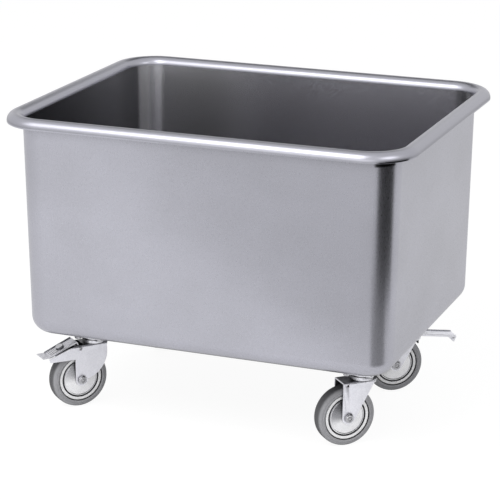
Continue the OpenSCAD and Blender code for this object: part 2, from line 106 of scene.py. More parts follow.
class TubSettings(bpy.types.PropertyGroup):
    """Sizes and finish of the tub."""

    sheet: length("Sheet", 0.0015, "Thickness of the tub's sheet")
    corner: length("Corner", 0.064, "Inside radius of the upright corners at the mouth")
    draft: length("Draft", 0.008, "Inward lean of a wall between rim and floor")
    floor_bend: length("Floor bend", 0.035, "Outside radius along the floor's edge")
    rim: length("Rim", 0.017, "Outside radius of the rolled rim")
    lip: length("Lip", 0.003, "Straight lip below the roll")
    # Painted shade: a dark patch below the lip at the front right corner
    pocket: length("Pocket", 0.017, "Height of the dark patch below the lip at the front right corner")
    corner_steps: IntProperty(name="Corner facets", description="Facets round an upright corner", default=24)
    steel: colour("Steel", (0.503, 0.503, 0.562), "Colour of the satin stainless sheet")
    steel_dull: colour("Dull steel", (0.468, 0.468, 0.52), "Colour of its duller patches")
    steel_inside: colour("Inner steel", (0.53, 0.525, 0.56), "Colour of the inner side, dulled by use")
    # Painted highlight on the inner corners and on the left end of the rear wall
    steel_corner_highlight: colour("Inner corners", (0.99, 0.99, 1.0), "Colour of the corners inside, a painted highlight")
    # Painted shade on the left inner wall, darkest at its front
    steel_left_shade: colour("Left wall, front", (0.05, 0.05, 0.055), "Colour of the left inner wall's front")
    steel_left_back_shade: colour("Left wall, back", (0.24, 0.24, 0.255), "Colour of the left inner wall's back")
    # Painted shade on the faces that look down
    steel_under_shade: colour("Underside", (0.14, 0.14, 0.15), "Colour of the underside, painted shade")
    roughness: share("Roughness", 0.28, "Roughness of the satin finish")
    roughness_inside: share("Inner roughness", 0.24, "Roughness of the inner side")
    roughness_rim: share("Rim roughness", 0.34, "Roughness of the rolled rim, rubbed by hands")
    # Painted shade: the rolled rim is darker than the walls to tone down its highlight
    rim_shade_tone: share("Rim tone", 0.72, "Brightness of the rolled rim beside the walls")


class CasterSettings(bpy.types.PropertyGroup):
    """Sizes and finishes of casters, brackets and brakes."""

    fork_gap: length("Fork gap", 0.038, "Clear width between the legs of a fork")
    fork_sheet: length("Fork sheet", 0.003, "Thickness of a fork's sheet")
    plate_sheet: length("Plate", 0.003, "Thickness of a top plate")
    plate_round: length("Plate corners", 0.006, "Corner radius of a top plate")
    bracket_sheet: length("Bracket", 0.003, "Thickness of a bracket's sheet")
    edge: length("Edge", 0.0005, "Rounding of cut sheet edges")
    race_in: length("Race bore", 0.0115, "Inside radius of the upper ball race")
    race_out: length("Race", 0.024, "Outside radius of the upper ball race")
    bolt_flats: length("Bolt flats", 0.013, "Width over the flats of plate bolts and nuts")
    bolt_d: length("Bolt", 0.008, "Diameter of the plate bolts")
    bolt_pitch: length("Bolt pitch", 0.00125, "Pitch of the plate bolts' threads")
    bolt_spacing: length("Bolt spacing", 0.048, "Distance between the bolts of a plate")
    washer_d: length("Washer", 0.016, "Diameter of the plate washers")
    axle_d: length("Axle", 0.010, "Diameter of the axle bolts")
    axle_pitch: length("Axle pitch", 0.0015, "Pitch of the axle bolts' threads")
    axle_flats: length("Axle flats", 0.017, "Width over the flats of axle bolts and nuts")
    axle_head: length("Axle head", 0.0064, "Height of an axle bolt's head")
    axle_nut: length("Axle nut", 0.008, "Height of an axle nut")
    axle_past: length("Axle end", 0.002, "Thread that shows past an axle nut")
    core_rim: length("Core rim", 0.0412, "Inside radius of a wheel core's pale rim")
    zinc: colour("Zinc", (0.91, 0.91, 0.97), "Colour of bright zinc plate")
    zinc_dull: colour("Dull zinc", (0.85, 0.85, 0.91), "Colour of its duller spangles")
    # Painted highlight and wear on zinc edges
    zinc_edge_highlight: colour("Zinc edges", (0.95, 0.95, 0.96), "Colour of zinc edges, rubbed pale and painted as a highlight")
    bracket: colour("Bracket steel", (0.62, 0.62, 0.65), "Colour of the brackets")
    bolt: colour("Bolt steel", (0.62, 0.62, 0.65), "Colour of bolts, nuts and pins")
    bolt_edge: colour("Bolt edges", (0.85, 0.85, 0.87), "Colour of bolt edges, rubbed bright")
    pedal_tone: share("Pedal tone", 0.72, "Brightness of the pedal beside the forks")
    # Reach of the painted shade and dirt in the brakes' crevices
    brake_shade_reach: length("Brake shade and dirt", 0.012, "Reach of the painted shade and dirt in crevices of pedal and lever")
    tyre: colour("Tyre", (0.33, 0.33, 0.345), "Colour of the grey tyres")
    tyre_worn: colour("Worn tyre", (0.37, 0.37, 0.385), "Colour of the tyres where they are dusty")
    core: colour("Core", (0.96, 0.96, 0.97), "Colour of the wheel cores")
    guard: colour("Guard", (0.94, 0.94, 0.96), "Colour of the thread guards")
    # Painted dark reflection on the thread guards' faces that look one way
    guard_dark_reflection: colour("Dark guard", (0.30, 0.30, 0.32), "Colour of the guards' painted dark reflection")
    guard_reflection_side: FloatVectorProperty(
        name="Dark sector", description="Direction that the guards' painted dark reflection faces",
        default=(-0.475, -0.46, 0.75), subtype="DIRECTION",
    )
    # Painted shade in crevices and under things, together with dirt
    grime_and_shade: colour("Grime and shade", (0.03, 0.03, 0.032), "Colour of the painted shade and dirt in crevices")
    bearing: colour("Bearing", (0.10, 0.10, 0.11), "Colour of the roller bearings")
    shoe: colour("Brake shoe", (0.045, 0.045, 0.05), "Colour of the brake shoes")


class StudioSettings(bpy.types.PropertyGroup):
    """Camera, lamps and floor."""

    azimuth: angle("Azimuth", 21.43, "Turn of the camera to the right of the front")
    elevation: angle("Elevation", 17.09, "Height of the camera above the horizon")
    roll: angle("Roll", 0.17, "Tilt of the camera about its axis")
    distance: length("Distance", 4.41, "Distance of the camera from its aim")
    aim: FloatVectorProperty(
        name="Aim", description="Point that the camera looks at",
        default=(0.0004, -0.0226, 0.3317), unit="LENGTH",
    )
    lens: FloatProperty(name="Lens", description="Focal length", default=150.7, unit="CAMERA")
    ambient: share("Ambient", 0.52, "Light that comes evenly from all round")
    floor: colour("Floor", (0.94, 0.94, 0.94), "Colour of the floor")
    floor_glow: FloatProperty(
        name="Floor glow", description="Light of the floor apart from shadow", default=1.08
    )
    shadow: share("Shadow", 0.14, "How much of the object's shadow the floor shows")
    glossy_shadow: share("Shadow in reflections", 0.6, "How much of that shadow the steel reflects")


class MobileTub(bpy.types.PropertyGroup):
    """All settings of the mobile tub."""

    tub: PointerProperty(type=TubSettings)
    caster: PointerProperty(type=CasterSettings)
    studio: PointerProperty(type=StudioSettings)


def settings():
    """The scene's settings."""
    return bpy.context.scene.mobile_tub


# Outlines

def arc(centre, radius, start, end, steps):
    """Points on an arc; angles in radians."""
    turns = [start + (end - start) * step / steps for step in range(steps + 1)]
    return [Vector((centre[0] + radius * math.cos(a), centre[1] + radius * math.sin(a))) for a in turns]


def rounded(points, closed=True, steps=ARC_STEPS):
    """Path through (x, y, radius) points, with each corner turned into an arc of its radius."""
    path = []
    for i, (x, y, radius) in enumerate(points):
        here = Vector((x, y))
        if radius <= 0 or (not closed and i in (0, len(points) - 1)):
            path.append(here)
            continue
        back = (Vector(points[i - 1][:2]) - here).normalized()
        onward = (Vector(points[(i + 1) % len(points)][:2]) - here).normalized()
        half = back.angle(onward) / 2
        centre = here + (back + onward).normalized() * radius / math.sin(half)
        first = here + back * radius / math.tan(half) - centre
        last = here + onward * radius / math.tan(half) - centre
        start = math.atan2(first.y, first.x)
        sweep = math.atan2(first.cross(last), first.dot(last))
        path += arc(centre, radius, start, start + sweep, steps)
    return path


def rounded_rectangle(wide, deep, radius):
    """Outline of a rectangle round the origin."""
    x, y = wide / 2, deep / 2
    return rounded([(-x, -y, radius), (x, -y, radius), (x, y, radius), (-x, y, radius)])


def both_sides(side):
    """Points (reach, height, radius) above the middle plane, with their mirror image below it."""
    return side + [(reach, -height, radius) for reach, height, radius in reversed(side)]


def sheet_outline(path, thickness):
    """Outline of a bent strip of sheet along the middle line path."""
    near, far = [], []
    for i, point in enumerate(path):
        along = (path[min(i + 1, len(path) - 1)] - path[max(i - 1, 0)]).normalized()
        aside = Vector((-along.y, along.x)) * thickness / 2
        near.append(point + aside)
        far.append(point - aside)
    return near + far[::-1]


def inset(outline, depth):
    """The outline moved inward by depth."""
    count = len(outline)
    area = sum(outline[i - 1].cross(outline[i]) for i in range(count))
    side = math.copysign(1, area)
    inner = []
    for i, point in enumerate(outline):
        before = (point - outline[i - 1]).normalized()
        after = (outline[(i + 1) % count] - point).normalized()
        normal = Vector((-before.y - after.y, before.x + after.x)) * side
        normal.normalize()
        lean = max(normal.dot(Vector((-before.y, before.x)) * side), 0.5)
        inner.append(point + normal * depth / lean)
    return inner


# Solids, each a list of points and a list of faces

def moved(shape, place):
    """The shape, placed by a matrix."""
    points, faces = shape
    return [place @ Vector(point) for point in points], faces


def joined(shapes):
    """Several shapes as one."""
    points, faces = [], []
    for more_points, more_faces in shapes:
        start = len(points)
        points += more_points
        faces += [tuple(start + i for i in face) for face in more_faces]
    return points, faces


def stacked(rings, closed_rings=True, capped=True):
    """Faces between rings of equal count, with flat ends."""
    count = len(rings[0])
    points = [point for ring in rings for point in ring]
    faces = []
    for level in range(len(rings) - 1):
        low, high = level * count, (level + 1) * count
        for i in range(count if closed_rings else count - 1):
            j = (i + 1) % count
            faces.append((low + i, low + j, high + j, high + i))
    if capped:
        faces.append(tuple(reversed(range(count))))
        faces.append(tuple(range(len(points) - count, len(points))))
    return points, faces


def prism(outline, low, high, edge=0.0):
    """Solid of an outline between two heights, with its rims rounded."""
    levels = []
    for step in range(EDGE_STEPS + 1):
        turn = math.radians(90) * step / EDGE_STEPS
        levels.append((edge * (1 - math.sin(turn)), edge * (1 - math.cos(turn))))
    rings = []
    for depth, rise in levels:
        rings.append([(p.x, p.y, low + rise) for p in inset(outline, depth)])
    for depth, rise in reversed(levels):
        rings.append([(p.x, p.y, high - rise) for p in inset(outline, depth)])
    return stacked(rings)


def turned(profile, steps=ROUND_STEPS, closed=True):
    """Form turned about z from (reach, height) points."""
    rings = []
    for step in range(steps + 1):
        turn = 2 * math.pi * step / steps
        rings.append([(r * math.cos(turn), r * math.sin(turn), z) for r, z in profile])
    return stacked(rings, closed_rings=closed, capped=False)


def hex_solid(flats, low, high, chamfer_low=False, bore=0.0):
    """Hexagon bar with chamfered ends, round z."""
    flat_r = flats / 2
    face_r = 0.95 * flat_r
    chamfer = math.tan(math.radians(30))
    hexagon = []
    for step in range(BOLT_STEPS):
        turn = 2 * math.pi * step / BOLT_STEPS
        off = (turn + math.radians(30)) % math.radians(60) - math.radians(30)
        hexagon.append((turn, flat_r / math.cos(off)))

    def ring(height, radius=None, slope=0.0):
        """Ring on the hexagon, or of a radius; its slope moves it by how far the hexagon passes its face."""
        points = []
        for turn, reach in hexagon:
            r = radius or reach
            points.append((r * math.cos(turn), r * math.sin(turn), height + slope * (reach - face_r)))
        return points

    rings = []
    if bore:
        rings += [ring(high, bore), ring(low, bore)]
    if chamfer_low:
        rings += [ring(low, face_r), ring(low, slope=chamfer)]
    else:
        rings.append(ring(low))
    rings += [ring(high, slope=-chamfer), ring(high, face_r)]
    if bore:
        rings.append(rings[0])
    return stacked(rings, capped=not bore)


def thread(diameter, low, high, pitch):
    """Screw thread about z, with a chamfered end at high."""
    steps = SMALL_STEPS
    depth = 0.55 * pitch
    crest = diameter / 2
    root = crest - depth
    rows = []
    turns = math.ceil((high - low) / pitch) + 2
    for step in range(steps + 1):
        turn = 2 * math.pi * step / steps
        row = []
        for half in range(2 * turns):
            z = low - pitch + pitch * (half / 2 + step / steps)
            held = min(max(z, low), high)
            reach = min(crest if half % 2 else root, root + high - held)
            row.append((reach * math.cos(turn), reach * math.sin(turn), held))
        rows.append([(0, 0, low), *row, (0, 0, high)])
    return stacked(rows, closed_rings=False, capped=False)


# Pieces

def make_piece(name, shape, body, node, slot, material=None):
    """Makes a piece from a shape, rides it on its body and has it stand for a node, if any.

    Its material is its slot's finish, unless one is given.
    """
    mesh = bpy.data.meshes.new(name)
    mesh.from_pydata(shape[0], [], shape[1])
    work = bmesh.new()
    work.from_mesh(mesh)
    bmesh.ops.remove_doubles(work, verts=work.verts, dist=1e-6)
    bmesh.ops.dissolve_degenerate(work, edges=work.edges, dist=1e-7)
    bmesh.ops.recalc_face_normals(work, faces=work.faces)
    work.to_mesh(mesh)
    work.free()
    mesh.materials.append(material or finish(slot))
    mesh.shade_smooth()
    mesh.set_sharp_from_angle(angle=SHARP)
    piece = bpy.data.objects.new(name, mesh)
    bpy.context.scene.collection.objects.link(piece)
    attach(piece, body)
    if node:
        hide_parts(node)
    return piece


def dress(node, material, edge=0.0):
    """Gives a node that stays its finish, and rounds its cut edges."""
    piece = frame["nodes"][node]
    for slot in piece.material_slots:
        slot.material = material
    if edge:
        weld = piece.modifiers.new("joined faces", "WELD")
        weld.merge_threshold = 1e-5
        flat = piece.modifiers.new("whole flats", "DECIMATE")
        flat.decimate_type = "DISSOLVE"
        flat.angle_limit = math.radians(0.2)
        soft = piece.modifiers.new("soft edges", "BEVEL")
        soft.width = edge
        soft.segments = EDGE_STEPS
        soft.limit_method = "ANGLE"
        soft.angle_limit = SHARP
        soft.harden_normals = True


def caster_place(corner):
    """Matrix of a caster: x ahead of the swivel axis, y to its far side, z up from the floor."""
    pivot = Vector(JOINTS["swivel_" + corner]["pos_m"])
    ahead = pivot - Vector(JOINTS["roll_" + corner]["pos_m"])
    ahead.z = 0
    ahead.normalize()
    place = Matrix((ahead, UP.cross(ahead), UP)).transposed().to_4x4()
    place.translation = (pivot.x, pivot.y, 0)
    return place


def across(place, point):
    """Matrix at a point, with x ahead, y up and z to the caster's near side."""
    turn = place.to_3x3() @ Matrix.Rotation(math.radians(90), 3, "X")
    return Matrix.Translation(point) @ turn.to_4x4()


def axle_place(corner):
    """Matrix at the middle of an axle, with z along it to the near side."""
    return across(caster_place(corner), Vector(JOINTS["roll_" + corner]["pos_m"]))


def pivot_place(corner):
    """Matrix on a swivel axis, square to the tub."""
    pivot = Vector(JOINTS["swivel_" + corner]["pos_m"])
    return Matrix.Translation((pivot.x, pivot.y, 0))


# Finishes

FLOAT = "NodeSocketFloat"


def put(tree, kind, inputs=None, **options):
    """Places a shader node with its options and inputs; a socket as an input is linked."""
    made = tree.nodes.new(kind)
    for key, value in options.items():
        setattr(made, key, value)
    for key, value in (inputs or {}).items():
        if isinstance(value, bpy.types.NodeSocket):
            tree.links.new(value, made.inputs[key])
        else:
            made.inputs[key].default_value = value
    return made


def worked_out(tree, operation, *values):
    """Result of a Math node."""
    return put(tree, "ShaderNodeMath", dict(enumerate(values)), operation=operation).outputs[0]


def dot_product(tree, first, second):
    """How far two directions agree."""
    made = put(tree, "ShaderNodeVectorMath", {0: first, 1: second}, operation="DOT_PRODUCT")
    return made.outputs["Value"]


def ramp(tree, value, start, end, low=0.0, high=1.0, kind="SMOOTHSTEP"):
    """Low where the value is at start, high where it is at end."""
    made = put(
        tree, "ShaderNodeMapRange",
        {"Value": value, "From Min": start, "From Max": end, "To Min": low, "To Max": high},
        interpolation_type=kind,
    )
    return made.outputs["Result"]


def blend_value(tree, mask, first, second):
    """Value between two by a mask."""
    # A Mix node's sockets 2 and 3 are its values, and 6 and 7 its colours
    return put(tree, "ShaderNodeMix", {0: mask, 2: first, 3: second}).outputs[0]


def blend_colour(tree, mask, first, second):
    """Colour between two by a mask; a plain colour is given without its alpha."""
    mix = put(tree, "ShaderNodeMix", {0: mask}, data_type="RGBA")
    for key, value in ((6, first), (7, second)):
        if isinstance(value, bpy.types.NodeSocket):
            tree.links.new(value, mix.inputs[key])
        else:
            mix.inputs[key].default_value = (*value, 1.0)
    return mix.outputs[2]


def toned(plain, tone):
    """A plain colour, made darker."""
    return tuple(tone * part for part in plain)


def new_group(name, inputs, outputs):
    """A node group with its sockets; returns the tree, its input node and its output node."""
    tree = bpy.data.node_groups.new(name, "ShaderNodeTree")
    for key, kind, default in inputs:
        socket = tree.interface.new_socket(name=key, in_out="INPUT", socket_type=kind)
        socket.default_value = default
    for key in outputs:
        tree.interface.new_socket(name=key, in_out="OUTPUT", socket_type=FLOAT)
    return tree, put(tree, "NodeGroupInput"), put(tree, "NodeGroupOutput")


def put_out(tree, result, values):
    """Links values to a group's outputs."""
    for key, value in values.items():
        tree.links.new(value, result.inputs[key])


def use_group(tree, name, build, values):
    """Places a shared group, which is built once, with its own values; returns its outputs."""
    shared = bpy.data.node_groups.get(name) or build(name)
    return put(tree, "ShaderNodeGroup", values, node_tree=shared).outputs


def grain_group(name):
    """Noise stretched along the piece's axes, as a height and as a value between two limits."""
    tree, given, result = new_group(
        name,
        [
            ("Grains", "NodeSocketVector", (500, 500, 500)),
            ("Detail", FLOAT, 2.0),
            ("Low", FLOAT, 0.0),
            ("High", FLOAT, 1.0),
        ],
        ["Height", "Value"],
    )
    where = put(tree, "ShaderNodeTexCoord")
    scaled = put(
        tree, "ShaderNodeVectorMath",
        {0: where.outputs["Object"], 1: given.outputs["Grains"]},
        operation="MULTIPLY",
    )
    noise = put(
        tree, "ShaderNodeTexNoise",
        {"Vector": scaled.outputs[0], "Scale": 1.0, "Detail": given.outputs["Detail"]},
    )
    height = noise.outputs["Fac"]
    value = ramp(tree, height, 0.3, 0.7, given.outputs["Low"], given.outputs["High"])
    put_out(tree, result, {"Height": height, "Value": value})
    return tree


def edge_group(name):
    """Mask of the edges within a radius, for wear and painted highlight, broken up so that it isn't even."""
    tree, given, result = new_group(name, [("Radius", FLOAT, 0.001), ("Break", FLOAT, 300.0)], ["Mask"])
    flat = put(tree, "ShaderNodeNewGeometry")
    soft = put(tree, "ShaderNodeBevel", {"Radius": given.outputs["Radius"]}, samples=4)
    turn = dot_product(tree, flat.outputs["Normal"], soft.outputs["Normal"])
    edge = ramp(tree, turn, 0.985, 0.90, kind="LINEAR")
    where = put(tree, "ShaderNodeTexCoord")
    noise = put(
        tree, "ShaderNodeTexNoise",
        {"Vector": where.outputs["Object"], "Scale": given.outputs["Break"], "Detail": 3.0},
    )
    broken = ramp(tree, noise.outputs["Fac"], 0.35, 0.6, 0.35, 1.0, "LINEAR")
    put_out(tree, result, {"Mask": worked_out(tree, "MULTIPLY", edge, broken)})
    return tree


def crevice_group(name):
    """Mask of the places that neighbouring surfaces close in, for painted shade and dirt."""
    tree, given, result = new_group(name, [("Reach", FLOAT, 0.01), ("Most", FLOAT, 1.0)], ["Mask"])
    sky = put(tree, "ShaderNodeAmbientOcclusion", {"Distance": given.outputs["Reach"]}, samples=8)
    closed = ramp(tree, sky.outputs["AO"], 0.80, 0.30, 0.0, given.outputs["Most"], "LINEAR")
    put_out(tree, result, {"Mask": closed})
    return tree


def tub_group(name):
    """Masks of the tub's places, from positions and directions in the tub's own frame.

    Top is the height of the rolled rim's middle, and Pocket Low that of the patch's lower end.
    """
    tree, given, result = new_group(
        name,
        [("Top", FLOAT, 1.0), ("Pocket Low", FLOAT, 1.0)],
        ["Inside", "Rim", "Under", "Pocket", "Corner", "Left", "Back", "Rear End"],
    )
    where = put(tree, "ShaderNodeTexCoord")
    place = put(tree, "ShaderNodeSeparateXYZ", {0: where.outputs["Object"]}).outputs
    normal = put(tree, "ShaderNodeSeparateXYZ", {0: where.outputs["Normal"]}).outputs

    # A surface inside looks towards the middle, and the floor's upper side looks up
    outward = put(
        tree, "ShaderNodeVectorMath",
        {0: where.outputs["Object"], 1: (1, 1, 0), 2: (0, 0, -0.3)},
        operation="MULTIPLY_ADD",
    )
    facing = dot_product(tree, outward.outputs[0], where.outputs["Normal"])
    inward = worked_out(tree, "LESS_THAN", facing, 0.0)
    below_rim = worked_out(tree, "LESS_THAN", place["Z"], given.outputs["Top"])
    inside = worked_out(tree, "MULTIPLY", inward, below_rim)

    # Round corners and the rear wall's left end (painted highlights), and the left wall (painted shade)
    slant = worked_out(tree, "ABSOLUTE", worked_out(tree, "MULTIPLY", normal["X"], normal["Y"]))
    to_right = ramp(tree, normal["X"], 0.7, 0.98)
    to_front = ramp(tree, normal["Y"], -0.7, -0.98)
    left_end = ramp(tree, place["X"], -0.05, -0.36, 0.0, 0.8)

    # The patch of painted shade under the rim, on the front right corner alone
    to_front_right = worked_out(tree, "SUBTRACT", normal["X"], normal["Y"])
    above_patch = worked_out(tree, "SUBTRACT", place["Z"], given.outputs["Pocket Low"])
    patch = worked_out(
        tree, "MULTIPLY", ramp(tree, to_front_right, 1.30, 1.36), ramp(tree, above_patch, 0.0, 0.004)
    )
    # Under, Pocket and Left mark painted shade, Back grades it, Corner and Rear End mark painted highlights
    put_out(tree, result, {
        "Inside": inside,
        "Rim": worked_out(tree, "SUBTRACT", 1.0, below_rim),
        "Under": ramp(tree, normal["Z"], -0.72, -0.9),
        "Pocket": worked_out(tree, "MULTIPLY", patch, below_rim),
        "Corner": worked_out(tree, "MULTIPLY", ramp(tree, slant, 0.40, 0.5), inside),
        "Left": worked_out(tree, "MULTIPLY", to_right, inside),
        "Back": ramp(tree, place["Y"], -0.25, 0.3),
        "Rear End": worked_out(tree, "MULTIPLY", to_front, left_end),
    })
    return tree


def use_grain(tree, grains, low=0.0, high=1.0, detail=2.0):
    """Grain with so many grains a metre along x, y and z, and a value between low and high."""
    values = {"Grains": grains, "Low": low, "High": high, "Detail": detail}
    return use_group(tree, "surface grain", grain_group, values)


def wear_and_light_edges(tree, base, rubbed, radius, breaks):
    """The colour, lighter along the edges as wear and painted highlight."""
    edges = use_group(tree, "worn and lit edges", edge_group, {"Radius": radius, "Break": breaks})
    return blend_colour(tree, edges["Mask"], base, rubbed)


def shade_and_soil(tree, base, reach, most):
    """The colour, with painted shade and dirt in the crevices."""
    crevices = use_group(tree, "shaded crevices", crevice_group, {"Reach": reach, "Most": most})
    return blend_colour(tree, crevices["Mask"], base, settings().caster.grime_and_shade)


def new_finish(name, plain):
    """A material with a Principled shader whose plain values are set on its own sockets."""
    material = bpy.data.materials.new(name)
    material.use_nodes = True
    tree = material.node_tree
    shader = tree.nodes["Principled BSDF"]
    for key, value in plain.items():
        shader.inputs[key].default_value = value
    return material, tree, shader


def feed(tree, shader, base, roughness, height, strength, depth):
    """Gives a shader its colour, its roughness and a height to bump by."""
    tree.links.new(base, shader.inputs["Base Color"])
    tree.links.new(roughness, shader.inputs["Roughness"])
    bump = put(tree, "ShaderNodeBump", {"Strength": strength, "Distance": depth, "Height": height})
    tree.links.new(bump.outputs["Normal"], shader.inputs["Normal"])


def finish_once(name, build):
    """The named material, built if it isn't there yet."""
    return bpy.data.materials.get(name) or build(name)


def satin_stainless(name):
    """Satin sheet with a fine upright grain, its inside dull and speckled; painted highlights and shade."""
    own = settings().tub
    material, tree, shader = new_finish(name, {"Metallic": 1.0})
    roll_middle = TUB_HIGH.z - own.rim
    pocket_low = roll_middle - own.lip - own.pocket
    place = use_group(tree, "places of the tub", tub_group, {"Top": roll_middle, "Pocket Low": pocket_low})
    grain = use_grain(tree, (1500, 1500, 120), own.roughness - 0.01, own.roughness + 0.015)
    patches = use_grain(tree, (5, 5, 7), detail=3.0)
    speckle = use_grain(tree, (320, 320, 320), detail=1.0)

    outside = blend_colour(tree, patches["Value"], own.steel, own.steel_dull)
    # Painted shade underneath and in the patch under the rim at the front right corner
    for mask, tone in (("Under", own.steel_under_shade), ("Pocket", settings().caster.grime_and_shade)):
        outside = blend_colour(tree, place[mask], outside, tone)
    inside = blend_colour(tree, speckle["Value"], own.steel_inside, toned(own.steel_inside, 0.74))
    # Painted shade on the left inner wall, darker towards its front
    left_wall_shade = blend_colour(tree, place["Back"], own.steel_left_shade, own.steel_left_back_shade)
    # Painted highlights on the inner corners and the rear wall's left end, painted shade on the left wall
    for mask, tone in (("Rear End", own.steel_corner_highlight), ("Left", left_wall_shade), ("Corner", own.steel_corner_highlight)):
        inside = blend_colour(tree, place[mask], inside, tone)
    walls = blend_colour(tree, place["Inside"], outside, inside)
    # Painted shade on the rolled rim, which tones down its highlight
    whole = blend_colour(tree, place["Rim"], walls, toned(own.steel, own.rim_shade_tone))

    wall_rough = blend_value(tree, place["Inside"], grain["Value"], own.roughness_inside)
    rough = blend_value(tree, place["Rim"], wall_rough, own.roughness_rim)
    smooth_inside = worked_out(tree, "SUBTRACT", 1.0, place["Inside"])
    height = worked_out(tree, "MULTIPLY", grain["Height"], smooth_inside)
    # Painted shade and dirt under the rim and in crevices
    soiled_and_shaded = shade_and_soil(tree, whole, reach=0.055, most=0.8)
    feed(tree, shader, soiled_and_shaded, rough, height, strength=0.012, depth=0.0001)
    return material


def bright_zinc(name, tone=1.0, reach=0.06):
    """Bright zinc plate with faint spangles, edges paler as wear and painted highlight, and painted shade."""
    own = settings().caster
    material, tree, shader = new_finish(name, {"Metallic": 0.9})
    spangle = use_grain(tree, (330, 330, 330))
    rough = use_grain(tree, (120, 120, 120), 0.32, 0.44)
    base = blend_colour(tree, spangle["Value"], toned(own.zinc, tone), toned(own.zinc_dull, tone))
    paler = wear_and_light_edges(tree, base, own.zinc_edge_highlight, radius=0.0018, breaks=300)
    soiled_and_shaded = shade_and_soil(tree, paler, reach, most=0.92)
    feed(tree, shader, soiled_and_shaded, rough["Value"], spangle["Height"], strength=0.12, depth=0.0003)
    return material


def folded_steel(name):
    """Folded stainless sheet of the brackets."""
    own = settings().caster
    material, tree, shader = new_finish(name, {"Metallic": 0.95})
    grain = use_grain(tree, (60, 900, 900), 0.32, 0.46)
    patches = use_grain(tree, (40, 40, 40), detail=3.0)
    base = blend_colour(tree, patches["Value"], own.bracket, toned(own.bracket, 0.8))
    feed(tree, shader, base, grain["Value"], grain["Height"], strength=0.10, depth=0.0002)
    return material


def bolt_steel(name):
    """Plated steel of bolts, nuts and pins, rubbed bright on its edges, with painted shade in crevices."""
    own = settings().caster
    material, tree, shader = new_finish(name, {"Metallic": 0.95})
    patches = use_grain(tree, (350, 350, 350), 0.18, 0.32)
    base = blend_colour(tree, patches["Height"], toned(own.bolt, 0.55), own.bolt)
    rubbed = wear_and_light_edges(tree, base, own.bolt_edge, radius=0.0008, breaks=500)
    soiled_and_shaded = shade_and_soil(tree, rubbed, reach=0.004, most=0.95)
    feed(tree, shader, soiled_and_shaded, patches["Value"], patches["Height"], strength=0.08, depth=0.0002)
    return material


def pressed_steel(name):
    """Bright pressed steel of the thread guards, with a painted dark reflection and painted shade."""
    own = settings().caster
    material, tree, shader = new_finish(name, {"Metallic": 0.8})
    mottle = use_grain(tree, (90, 90, 90), detail=3.0)
    rough = use_grain(tree, (200, 200, 200), 0.22, 0.26)
    base = blend_colour(tree, mottle["Value"], own.guard, toned(own.guard, 0.93))
    # Painted dark reflection on the faces that look towards the given side
    where = put(tree, "ShaderNodeTexCoord")
    facing = dot_product(tree, where.outputs["Normal"], own.guard_reflection_side)
    painted_reflection = blend_colour(tree, ramp(tree, facing, 0.02, 0.19), base, own.guard_dark_reflection)
    soiled_and_shaded = shade_and_soil(tree, painted_reflection, reach=0.03, most=0.7)
    feed(tree, shader, soiled_and_shaded, rough["Value"], mottle["Height"], strength=0.02, depth=0.0002)
    return material


def tyre_rubber(name):
    """Grey rubber with a fine matt skin, dust, a tread darkened as dirt and painted shade, and painted shade.
    """
    own = settings().caster
    material, tree, shader = new_finish(name, {"Specular IOR Level": 0.08})
    skin = use_grain(tree, (1400, 1400, 1400), 0.55, 0.72)
    dust = use_grain(tree, (70, 70, 70), 0.0, 0.6, detail=4.0)
    base = blend_colour(tree, dust["Value"], own.tyre, own.tyre_worn)
    rubbed = wear_and_light_edges(tree, base, own.tyre_worn, radius=0.0015, breaks=200)
    # The tread is darkened as dirt and as painted shade at the tyre's outline
    tread = put(tree, "ShaderNodeAttribute", attribute_name=TREAD_MARK)
    dirt = ramp(tree, tread.outputs["Fac"], 0.35, 0.95, 0.0, 0.7, "LINEAR")
    darker = blend_colour(tree, dirt, rubbed, own.grime_and_shade)
    soiled_and_shaded = shade_and_soil(tree, darker, reach=0.005, most=0.9)
    feed(tree, shader, soiled_and_shaded, skin["Value"], skin["Height"], strength=0.15, depth=0.0003)
    return material


def moulded_plastic(name, plain, rough):
    """Moulded plastic with a faint mottle and a fine skin, with painted shade in crevices."""
    material, tree, shader = new_finish(name, {"Specular IOR Level": 0.45})
    mottle = use_grain(tree, (90, 90, 90), detail=3.0)
    skin = use_grain(tree, (1100, 1100, 1100), rough - 0.06, rough + 0.08)
    base = blend_colour(tree, mottle["Value"], plain, toned(plain, 0.94))
    soiled_and_shaded = shade_and_soil(tree, base, reach=0.008, most=1.0)
    feed(tree, shader, soiled_and_shaded, skin["Value"], skin["Height"], strength=0.08, depth=0.0002)
    return material


def finish(slot):
    """The finish of a material slot."""
    own = settings().caster
    makers = {
        "tub_steel": satin_stainless,
        "zinc_steel": bright_zinc,
        "bracket_steel": folded_steel,
        "bolt_steel": bolt_steel,
        "tyre_rubber": tyre_rubber,
        "core_plastic": lambda name: moulded_plastic(name, own.core, rough=0.42),
        "guard_steel": pressed_steel,
        "bearing_plastic": lambda name: moulded_plastic(name, own.bearing, rough=0.45),
        "shoe_rubber": lambda name: moulded_plastic(name, own.shoe, rough=0.7),
    }
    return finish_once(slot.replace("_", " "), makers[slot])


# The tub

